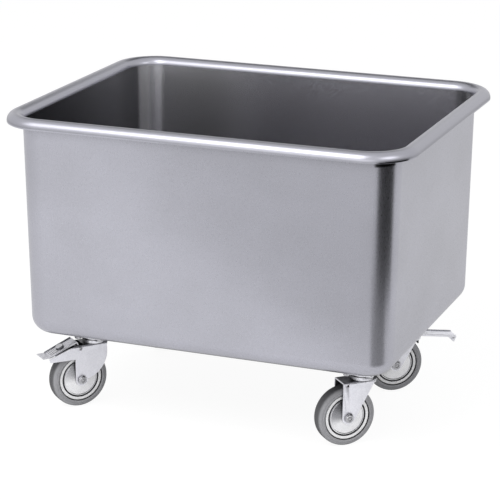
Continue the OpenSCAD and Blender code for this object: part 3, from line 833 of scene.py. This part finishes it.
def tub_section(own):
    """Section of the sheet as (reach from a corner's axis, height), from the inner floor over the rim."""
    lean = math.atan(own.draft / (TUB_HIGH.z - TUB_LOW.z - own.rim))
    out = Vector((math.cos(lean), -math.sin(lean)))
    roll = Vector((own.corner + own.rim, TUB_HIGH.z - own.rim))
    wall_top = roll - own.rim * out
    bend_in = own.floor_bend - own.sheet
    bend_z = TUB_LOW.z + own.floor_bend
    bend_x = wall_top.x - (bend_in + (wall_top.y - bend_z) * math.sin(lean)) / math.cos(lean)
    bend = (bend_x, bend_z)
    down = math.radians(-90)
    over = math.pi - lean
    hem = (roll.x + own.rim - own.sheet / 2, roll.y - own.lip + own.sheet / 2)
    return (
        arc(bend, bend_in, down, -lean, BEND_STEPS)
        + arc(roll, own.rim, over, 0, ROLL_STEPS)
        + arc(hem, own.sheet / 2, 0, -math.pi, ARC_STEPS)
        + arc(roll, own.rim - own.sheet, 0, over, ROLL_STEPS)
        + arc(bend, own.floor_bend, -lean, down, BEND_STEPS)
    )


def tub_shape(own):
    """The section swept round the tub, with a flat floor."""
    section = tub_section(own)
    axis_x = TUB_HIGH.x - 2 * own.rim - own.corner
    axis_y = TUB_HIGH.y - 2 * own.rim - own.corner
    rings = [[] for _ in section]
    for quarter, (sx, sy) in enumerate(((1, 1), (-1, 1), (-1, -1), (1, -1))):
        for step in range(own.corner_steps + 1):
            turn = math.radians(90) * (quarter + step / own.corner_steps)
            for ring, point in zip(rings, section):
                x = sx * axis_x + point.x * math.cos(turn)
                y = sy * axis_y + point.x * math.sin(turn)
                ring.append((x, y, point.y))
    return stacked(rings)


class MOBILE_TUB_OT_tub(bpy.types.Operator):
    """Make the tub's shell"""

    bl_idname = "mobile_tub.tub"
    bl_label = "Tub shell"

    def execute(self, context):
        own = settings().tub
        make_piece("tub_shell", tub_shape(own), "tub_frame", "tub", "tub_steel")
        return {"FINISHED"}


# Brackets and top plates

def bracket_shape(corner, own):
    """Folded channel between top plate and tub."""
    low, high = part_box("mount_bracket_" + corner)
    half = own.bracket_sheet / 2
    bend = 1.5 * own.bracket_sheet
    path = rounded(
        [
            (low.y + half, high.z, 0),
            (low.y + half, low.z + half, bend),
            (high.y - half, low.z + half, bend),
            (high.y - half, high.z, 0),
        ],
        closed=False,
    )
    along_x = Matrix(((0, 0, 1, 0), (1, 0, 0, 0), (0, 1, 0, 0), (0, 0, 0, 1)))
    return moved(prism(sheet_outline(path, own.bracket_sheet), low.x, high.x, own.edge), along_x)


def top_plate_shape(corner, own):
    """Plate with rounded corners and the pressed upper race under it."""
    low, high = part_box("top_plate_" + corner)
    size = high - low
    plate_z = high.z - own.plate_sheet
    plate = prism(rounded_rectangle(size.x, size.y, own.plate_round), plate_z, high.z, own.edge)
    bend = 0.001
    race = turned(
        rounded(
            [
                (own.race_in, plate_z, 0),
                (own.race_in, low.z, bend),
                (own.race_out, low.z, 2 * bend),
                (own.race_out, plate_z, 0),
            ]
        )
    )
    return moved(joined([plate, race]), pivot_place(corner))


class MOBILE_TUB_OT_brackets(bpy.types.Operator):
    """Make the folded brackets and the casters' top plates"""

    bl_idname = "mobile_tub.brackets"
    bl_label = "Brackets and top plates"

    def execute(self, context):
        own = settings().caster
        for corner in CORNERS:
            make_piece(
                "folded_bracket_" + corner, bracket_shape(corner, own),
                "tub_frame", "mount_bracket_" + corner, "bracket_steel",
            )
            make_piece(
                "swivel_plate_" + corner, top_plate_shape(corner, own),
                "tub_frame", "top_plate_" + corner, "zinc_steel",
            )
            dress("king_pin_" + corner, finish("bolt_steel"))
            dress("swivel_balls_" + corner, finish("bolt_steel"))
        return {"FINISHED"}


# Plate fasteners

def plate_bolt_shape(own):
    """Hexagon bolt with its head below the plate."""
    low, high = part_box("plate_bolts")
    head_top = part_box("top_plate_front_left")[1].z - own.plate_sheet
    head_down = Matrix.Translation((0, 0, head_top + low.z)) @ UPSIDE_DOWN
    head = moved(hex_solid(own.bolt_flats, low.z, head_top), head_down)
    return joined([head, thread(own.bolt_d, head_top, high.z, own.bolt_pitch)])


def plate_washer_shape(own):
    """Flat washer with softened rims."""
    low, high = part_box("plate_washers")
    bore = own.bolt_d / 2 + PLAY
    profile = [
        (bore, low.z, 0),
        (own.washer_d / 2, low.z, FINE_EDGE),
        (own.washer_d / 2, high.z, FINE_EDGE),
        (bore, high.z, 0),
    ]
    return turned(rounded(profile, steps=EDGE_STEPS), steps=SMALL_STEPS)


def plate_nut_shape(own):
    """Hexagon nut, chamfered on both sides."""
    low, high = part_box("plate_nuts")
    return hex_solid(own.bolt_flats, low.z, high.z, chamfer_low=True, bore=own.bolt_d / 2 + PLAY)


def at_plate_bolts(shape, spacing):
    """The shape at every bolt of every plate."""
    copies = []
    for corner in CORNERS:
        for sx in (-0.5, 0.5):
            for sy in (-0.5, 0.5):
                off = Matrix.Translation((sx * spacing, sy * spacing, 0))
                copies.append(moved(shape, pivot_place(corner) @ off))
    return joined(copies)


class MOBILE_TUB_OT_plate_fasteners(bpy.types.Operator):
    """Make the bolts, washers and nuts of the top plates"""

    bl_idname = "mobile_tub.plate_fasteners"
    bl_label = "Plate fasteners"

    def execute(self, context):
        own = settings().caster
        for name, shape, node in (
            ("plate_bolt_set", plate_bolt_shape(own), "plate_bolts"),
            ("plate_washer_set", plate_washer_shape(own), "plate_washers"),
            ("plate_nut_set", plate_nut_shape(own), "plate_nuts"),
        ):
            make_piece(name, at_plate_bolts(shape, own.bolt_spacing), "tub_frame", node, "bolt_steel")
        return {"FINISHED"}


# Forks and axles

def leg_face(own):
    """Distance from a wheel's middle to the outer face of a fork's leg."""
    return own.fork_gap / 2 + own.fork_sheet


def axle_bolt_shape(own):
    """Axle bolt whose head holds a ring and a dome in its hollow."""
    leg = leg_face(own)
    top = leg + own.axle_head
    hollow = 0.0012
    seat = top - 1.5 * hollow
    ring_in, ring_top, ring_out, ring_edge = 0.0048, 0.0062, 0.0070, 0.0004
    dome_r, dome_edge = 0.0026, 0.0006
    ring = [
        (ring_in, seat, 0),
        (ring_out, seat, 0),
        (ring_out, top - hollow / 2, ring_edge),
        (ring_top, top, ring_edge),
        (ring_in, top, FINE_EDGE),
    ]
    dome = [(0, seat, 0), (dome_r, seat, 0), (dome_r, top - 0.3 * hollow, dome_edge), (0, top, 0)]
    shank = arc((0, 0), own.axle_d / 2, 0, 2 * math.pi, BOLT_STEPS)[:-1]
    tail = thread(own.axle_d, leg, leg + own.axle_nut + own.axle_past, own.axle_pitch)
    return joined([
        hex_solid(own.axle_flats, leg, top - hollow),
        turned(rounded(ring)),
        turned(rounded(dome, closed=False), closed=False),
        prism(shank, -leg, leg),
        moved(tail, UPSIDE_DOWN),
    ])


def axle_nut_shape(own):
    """Nut on the far side of the fork."""
    leg = leg_face(own)
    bore = own.axle_d / 2 + PLAY
    return moved(hex_solid(own.axle_flats, leg, leg + own.axle_nut, chamfer_low=True, bore=bore), UPSIDE_DOWN)


class MOBILE_TUB_OT_forks(bpy.types.Operator):
    """Finish the forks and make their axle bolts and nuts"""

    bl_idname = "mobile_tub.forks"
    bl_label = "Forks and axles"

    def execute(self, context):
        own = settings().caster
        bolt = axle_bolt_shape(own)
        nut = axle_nut_shape(own)
        for corner in CORNERS:
            body = "caster_" + corner
            place = axle_place(corner)
            dress("fork_" + corner, finish("zinc_steel"), own.edge)
            dress("axle_sleeve_" + corner, finish("bolt_steel"))
            make_piece("axle_screw_" + corner, moved(bolt, place), body, "axle_bolt_" + corner, "bolt_steel")
            make_piece("lock_nut_" + corner, moved(nut, place), body, "axle_nut_" + corner, "bolt_steel")
        return {"FINISHED"}


# Wheels

def tyre_shape(wheel_r):
    """Tyre with a slightly crowned tread, round shoulders and a ridge on each side."""
    inner, half, shoulder, crown = 0.0493, 0.016, 0.008, 0.0004
    ridge, ridge_at, ridge_edge = 0.001, 0.0525, 0.0005
    foot, top = 2.2 * ridge, 0.6 * ridge
    foot_edge, bead_edge = 0.0008, 0.0006
    side = [
        (wheel_r - crown, half, shoulder),
        (ridge_at + foot, half, foot_edge),
        (ridge_at + top, half + ridge, ridge_edge),
        (ridge_at - top, half + ridge, ridge_edge),
        (ridge_at - foot, half, foot_edge),
        (inner, half, bead_edge),
    ]
    return turned(rounded([(wheel_r, 0.0, 0)] + both_sides(side)))


def mark_tread(tyre, place):
    """Stores for each point of a tyre how far it faces away from the axle."""
    axle = place.to_3x3().col[2]
    mark = tyre.data.attributes.new(TREAD_MARK, "FLOAT", "POINT")
    for value, normal in zip(mark.data, tyre.data.vertex_normals):
        value.value = 1 - abs(normal.vector.dot(axle))


def core_shape(rim_in):
    """Core with a stepped rim, a web and a hub."""
    rim_out, half, web = 0.049, 0.014, 0.004
    hub_r, hub_half, bore = 0.014, 0.0155, 0.01005
    seat, step, step_deep, step_edge = 0.0004, 0.0018, 0.002, 0.0008
    rim_edge, web_bend, hub_edge, bore_edge = 0.0012, 0.0015, 0.001, 0.0005
    side = [
        (rim_out - seat, half - step_deep, step_edge),
        (rim_out - step, half, rim_edge),
        (rim_in, half, rim_edge),
        (rim_in, web, web_bend),
        (hub_r, web, web_bend),
        (hub_r, hub_half, hub_edge),
        (bore, hub_half, bore_edge),
    ]
    return turned(rounded(both_sides(side)))


def shade_recess(core, place, rim_in):
    """Paints shade on the core's recess behind the guards, with the bearings' dark finish."""
    core.data.materials.append(finish("bearing_plastic"))
    back = place.inverted()
    for face in core.data.polygons:
        if (back @ face.center).xy.length < rim_in + FINE_EDGE:
            face.material_index = 1


def guard_shape(own):
    """Two dished discs that keep thread and lint off the axle."""
    leg_gap, sheet = 0.0003, 0.0015
    top = own.fork_gap / 2 - leg_gap
    edge_r, edge_z, flat_r, bore = 0.0384, 0.013, 0.014, 0.00705
    bend, crease, rim_edge, lip_edge, cut_edge = 0.004, 0.001, 0.0008, 0.0007, 0.0005
    disc = turned(
        rounded(
            [
                (bore, top - sheet, 0),
                (flat_r, top - sheet, bend),
                (edge_r - sheet, edge_z - sheet, crease),
                (edge_r, edge_z - sheet, cut_edge),
                (edge_r, edge_z, lip_edge),
                (edge_r - 1.2 * sheet, edge_z + 0.5 * sheet, rim_edge),
                (edge_r - 2.2 * sheet, edge_z + 0.1 * sheet, rim_edge),
                (flat_r, top - 0.3 * sheet, bend),
                (flat_r - 1.2 * sheet, top, crease),
                (bore, top, FINE_EDGE),
            ]
        )
    )
    return joined([disc, moved(disc, UPSIDE_DOWN)])


class MOBILE_TUB_OT_wheels(bpy.types.Operator):
    """Make tyres, cores and thread guards"""

    bl_idname = "mobile_tub.wheels"
    bl_label = "Wheels"

    def execute(self, context):
        own = settings().caster
        core_form = core_shape(own.core_rim)
        guard_form = guard_shape(own)
        for corner in CORNERS:
            wheel = "wheel_" + corner
            place = axle_place(corner)
            tyre_form = moved(tyre_shape(place.translation.z), place)
            tyre = make_piece("rubber_tyre_" + corner, tyre_form, wheel, "tyre_" + corner, "tyre_rubber")
            mark_tread(tyre, place)
            core = make_piece(
                "rim_core_" + corner, moved(core_form, place), wheel, "wheel_core_" + corner, "core_plastic"
            )
            # Painted shade in the core's recess behind the guards
            shade_recess(core, place, own.core_rim)
            make_piece(
                "lint_guards_" + corner, moved(guard_form, place),
                "caster_" + corner, "thread_guards_" + corner, "guard_steel",
            )
            dress("wheel_bearing_" + corner, finish("bearing_plastic"))
        return {"FINISHED"}


# Brakes

def brake_place(corner):
    """Matrix at a brake's pin, with x ahead, y up and z to the caster's near side."""
    return across(caster_place(corner), Vector(JOINTS["brake_" + corner]["pos_m"]))


def rivet_shape(leg):
    """Brake pin with hollow rivet heads."""
    pin_r, head_r, head_h, dimple_r, head_edge = 0.0025, 0.0045, 0.0015, 0.0022, 0.0008
    end = [
        (0, leg, 0),
        (dimple_r, leg, 0),
        (dimple_r, leg + head_h, FINE_EDGE),
        (0.8 * head_r, leg + head_h, head_edge),
        (head_r, leg, 0),
        (pin_r, leg, 0),
    ]
    return turned(rounded(both_sides(end), closed=False), steps=SMALL_STEPS, closed=False)


def ribs_on(start, end, thickness, ribs):
    """Ribs on a plate seen from the side between two points of its middle line.

    A rib is (from, to, low y, high y, height); from and to run along the plate.
    """
    along = (end - start).normalized()
    up = Vector((-along.y, along.x)) if along.x > 0 else Vector((along.y, -along.x))
    made = []
    for first, last, low, high, height in ribs:
        foot = start + along * first + up * (thickness / 2 - FINE_EDGE)
        reach = along * (last - first)
        rise = up * (height + FINE_EDGE)
        side = [foot, foot + reach, foot + reach + rise, foot + rise]
        made.append(prism(side if along.x > 0 else side[::-1], low, high, FINE_EDGE))
    return joined(made)


def edge_rails(first, last):
    """Rails along both edges of a pedal or lever."""
    half, wide, rise = 0.017, 0.0014, 0.0022
    return [(first, last, low, low + wide, rise) for low in (-half, half - wide)]


def pedal_ribs():
    """Edge rails and tread ribs of the pedal."""
    shoulder, toe = Vector((-0.006, 0.0135)), Vector((-0.066, -0.0105))
    sheet = 0.0025
    count, first, pitch = 5, 0.044, 0.0036
    wide, half, rise = 0.0016, 0.012, 0.001
    starts = [first + k * pitch for k in range(count)]
    tread = [(start, start + wide, -half, half, rise) for start in starts]
    return ribs_on(shoulder, toe, sheet, edge_rails(0, (toe - shoulder).length) + tread)


def lever_ribs():
    """Edge rails of the lever."""
    root, tip = Vector((0, 0.0025)), Vector((0.090, -0.008))
    sheet, first = 0.003, 0.02
    return ribs_on(root, tip, sheet, edge_rails(first, (tip - root).length))


class MOBILE_TUB_OT_brakes(bpy.types.Operator):
    """Make the brake pedal, the brake lever and their pins"""

    bl_idname = "mobile_tub.brakes"
    bl_label = "Brakes"

    def execute(self, context):
        own = settings().caster
        dull = finish_once("dull zinc", lambda name: bright_zinc(name, own.pedal_tone, own.brake_shade_reach))
        bright = finish_once("rubbed zinc", lambda name: bright_zinc(name, 1.0, own.brake_shade_reach))
        dress("shoe_screw_front_left", finish("bolt_steel"), own.edge)
        for corner, part, ribs, zinc in (
            ("front_left", "pedal", pedal_ribs(), dull),
            ("rear_right", "lever", lever_ribs(), bright),
        ):
            place = brake_place(corner)
            rivet = moved(rivet_shape(leg_face(own)), place)
            make_piece(
                "brake_rivet_" + corner, rivet, "caster_" + corner, "brake_pin_" + corner, "bolt_steel"
            )
            dress("brake_shoe_" + corner, finish("shoe_rubber"), own.edge)
            dress(f"brake_{part}_{corner}", zinc, own.edge)
            make_piece(
                "brake_ribs_" + corner, moved(ribs, place), f"{part}_{corner}", None, "zinc_steel", zinc
            )
        return {"FINISHED"}


# Studio

def shader_tree(owner):
    """The owner's node tree, emptied."""
    owner.use_nodes = True
    owner.node_tree.nodes.clear()
    return owner.node_tree


def set_world(own):
    """White all round for what is seen, and an even soft light."""
    world = bpy.data.worlds.new("studio air")
    bpy.context.scene.world = world
    tree = shader_tree(world)
    soft = put(tree, "ShaderNodeBackground", {"Color": WHITE, "Strength": own.ambient})
    white = put(tree, "ShaderNodeBackground", {"Color": WHITE, "Strength": 1.0})
    path = put(tree, "ShaderNodeLightPath").outputs
    straight = worked_out(tree, "MAXIMUM", path["Is Camera Ray"], path["Is Transmission Ray"])
    seen = worked_out(tree, "MAXIMUM", straight, path["Is Glossy Ray"])
    mix = put(tree, "ShaderNodeMixShader", {0: seen, 1: soft.outputs[0], 2: white.outputs[0]})
    put(tree, "ShaderNodeOutputWorld", {"Surface": mix.outputs[0]})


def stage_mesh(name, points, material):
    """A flat stage piece."""
    mesh = bpy.data.meshes.new(name)
    mesh.from_pydata(points, [], [tuple(range(len(points)))])
    mesh.materials.append(material)
    made = bpy.data.objects.new(name, mesh)
    bpy.context.scene.collection.objects.link(made)
    return made


def lying(outline, height):
    """Points of a level stage piece."""
    return [(x, y, height) for x, y in outline]


def standing(line, height):
    """Points of an upright stage piece from the floor up, over a line between two points."""
    (x1, y1), (x2, y2) = line
    return [(x1, y1, 0), (x2, y2, 0), (x2, y2, height), (x1, y1, height)]


def floor_material(own):
    """Pale floor that shows as white apart from the object's shadow."""
    material = bpy.data.materials.new("pale floor")
    tree = shader_tree(material)
    matt = put(tree, "ShaderNodeBsdfDiffuse", {"Color": (*own.floor, 1)})
    white = put(tree, "ShaderNodeEmission", {"Color": WHITE, "Strength": own.floor_glow})
    path = put(tree, "ShaderNodeLightPath").outputs
    straight = worked_out(tree, "MAXIMUM", path["Is Camera Ray"], path["Is Transmission Ray"])
    glossy = worked_out(tree, "MULTIPLY", path["Is Glossy Ray"], 1 - own.glossy_shadow)
    mask = worked_out(tree, "MULTIPLY_ADD", straight, 1 - own.shadow, glossy)
    mix = put(tree, "ShaderNodeMixShader", {0: mask, 1: matt.outputs[0], 2: white.outputs[0]})
    put(tree, "ShaderNodeOutputMaterial", {"Surface": mix.outputs[0]})
    return material


def dark_card(name, shade, points):
    """Card beside the set, darker than the room, which only reflections show."""
    material = bpy.data.materials.new(name)
    tree = shader_tree(material)
    glow = put(tree, "ShaderNodeEmission", {"Color": (shade, shade, shade, 1), "Strength": 1.0})
    put(tree, "ShaderNodeOutputMaterial", {"Surface": glow.outputs[0]})
    card = stage_mesh(name, points, material)
    card.visible_camera = False
    card.visible_diffuse = False
    card.visible_shadow = False
    card.visible_transmission = False


def add_cards():
    """The cards whose reflections shade the steel: beside, below, above and in front of the tub."""
    beside = ((1.065, -1.01), (1.239, 0.037))
    dark_card("side card", 0.01, standing(beside, 0.65))
    by_corner = ((0.53, -0.536), (0.905, -1.186), (1.05, -1.10), (1.18, -0.31), (0.726, -0.246))
    dark_card("corner card", 0.36, lying(by_corner, 0.005))
    overhead = ((-2.2, 1.2), (0.2, 1.2), (0.2, 2.9), (-2.2, 2.9))
    dark_card("ceiling card", 0.06, lying(overhead, 2.4))
    in_front = (
        (0.1, -0.8), (-0.45, -1.25), (-0.75, -1.7), (-1.2, -2.2), (-1.2, -4.5), (1.5, -4.5), (1.2, -0.8),
    )
    dark_card("floor card", 0.72, lying(in_front, 0.004))


def add_lamp(name, place, aim, wide, deep, watts):
    """A soft panel lamp."""
    data = bpy.data.lights.new(name, "AREA")
    data.shape = "RECTANGLE"
    data.size = wide
    data.size_y = deep
    data.energy = watts
    lamp = bpy.data.objects.new(name, data)
    lamp.location = place
    lamp.rotation_euler = (Vector(aim) - Vector(place)).to_track_quat("-Z", "Y").to_euler()
    lamp.visible_camera = False
    bpy.context.scene.collection.objects.link(lamp)


def add_camera(own):
    """The camera, turned about its aim to the photograph's view."""
    camera = bpy.data.objects.new("camera", bpy.data.cameras.new("camera"))
    camera.data.lens = own.lens
    camera.data.sensor_width = 36
    camera.data.clip_end = 100
    level = math.cos(own.elevation)
    back = Vector((math.sin(own.azimuth) * level, -math.cos(own.azimuth) * level, math.sin(own.elevation)))
    turn = (-back).to_track_quat("-Z", "Y").to_matrix() @ Matrix.Rotation(own.roll, 3, "Z")
    camera.matrix_world = Matrix.Translation(Vector(own.aim) + back * own.distance) @ turn.to_4x4()
    bpy.context.scene.collection.objects.link(camera)
    bpy.context.scene.camera = camera


class MOBILE_TUB_OT_stage(bpy.types.Operator):
    """Set the camera, lamps, cards and floor"""

    bl_idname = "mobile_tub.stage"
    bl_label = "Studio"

    def execute(self, context):
        own = settings().studio
        context.scene.view_settings.view_transform = "Standard"
        set_world(own)
        reach = 20
        square = ((-reach, -reach), (reach, -reach), (reach, reach), (-reach, reach))
        stage_mesh("floor", lying(square, 0), floor_material(own))
        add_cards()
        tub_middle, tub_low = (0, 0, 0.5), (0, 0, 0.3)
        add_lamp("key", (-0.35, -1.7, 2.3), tub_middle, wide=1.3, deep=1.6, watts=28)
        add_lamp("left key", (-1.6, -1.7, 2.3), tub_middle, wide=1.2, deep=1.6, watts=10)
        add_lamp("fill", (2.05, -1.1, 1.9), tub_middle, wide=1.2, deep=0.9, watts=9)
        add_lamp("low", (0.2, -3.0, 1.0), tub_low, wide=3.0, deep=1.0, watts=11)
        add_camera(own)
        return {"FINISHED"}


class MOBILE_TUB_PT_sidebar(bpy.types.Panel):
    """Lists the pieces and their settings"""

    bl_idname = "MOBILE_TUB_PT_sidebar"
    bl_label = "Mobile tub"
    bl_space_type = "VIEW_3D"
    bl_region_type = "UI"
    bl_category = "Mobile tub"

    def draw(self, context):
        for operator in OPERATORS:
            self.layout.operator(operator.bl_idname)
        own = context.scene.mobile_tub
        for group in (own.tub, own.caster, own.studio):
            box = self.layout.box()
            for key in group.__annotations__:
                box.prop(group, key)


OPERATORS = (
    MOBILE_TUB_OT_stage,
    MOBILE_TUB_OT_tub,
    MOBILE_TUB_OT_brackets,
    MOBILE_TUB_OT_plate_fasteners,
    MOBILE_TUB_OT_forks,
    MOBILE_TUB_OT_wheels,
    MOBILE_TUB_OT_brakes,
)
CLASSES = (TubSettings, CasterSettings, StudioSettings, MobileTub, *OPERATORS, MOBILE_TUB_PT_sidebar)


def register():
    """Registers the classes and the scene's settings."""
    for cls in CLASSES:
        bpy.utils.register_class(cls)
    bpy.types.Scene.mobile_tub = PointerProperty(type=MobileTub)


def unregister():
    """Takes them out again."""
    del bpy.types.Scene.mobile_tub
    for cls in reversed(CLASSES):
        bpy.utils.unregister_class(cls)


def main():
    """Makes the object and its studio."""
    register()
    bpy.ops.mobile_tub.stage()
    bpy.ops.mobile_tub.tub()
    bpy.ops.mobile_tub.brackets()
    bpy.ops.mobile_tub.plate_fasteners()
    bpy.ops.mobile_tub.forks()
    bpy.ops.mobile_tub.wheels()
    bpy.ops.mobile_tub.brakes()


if __name__ == "__main__":
    main()
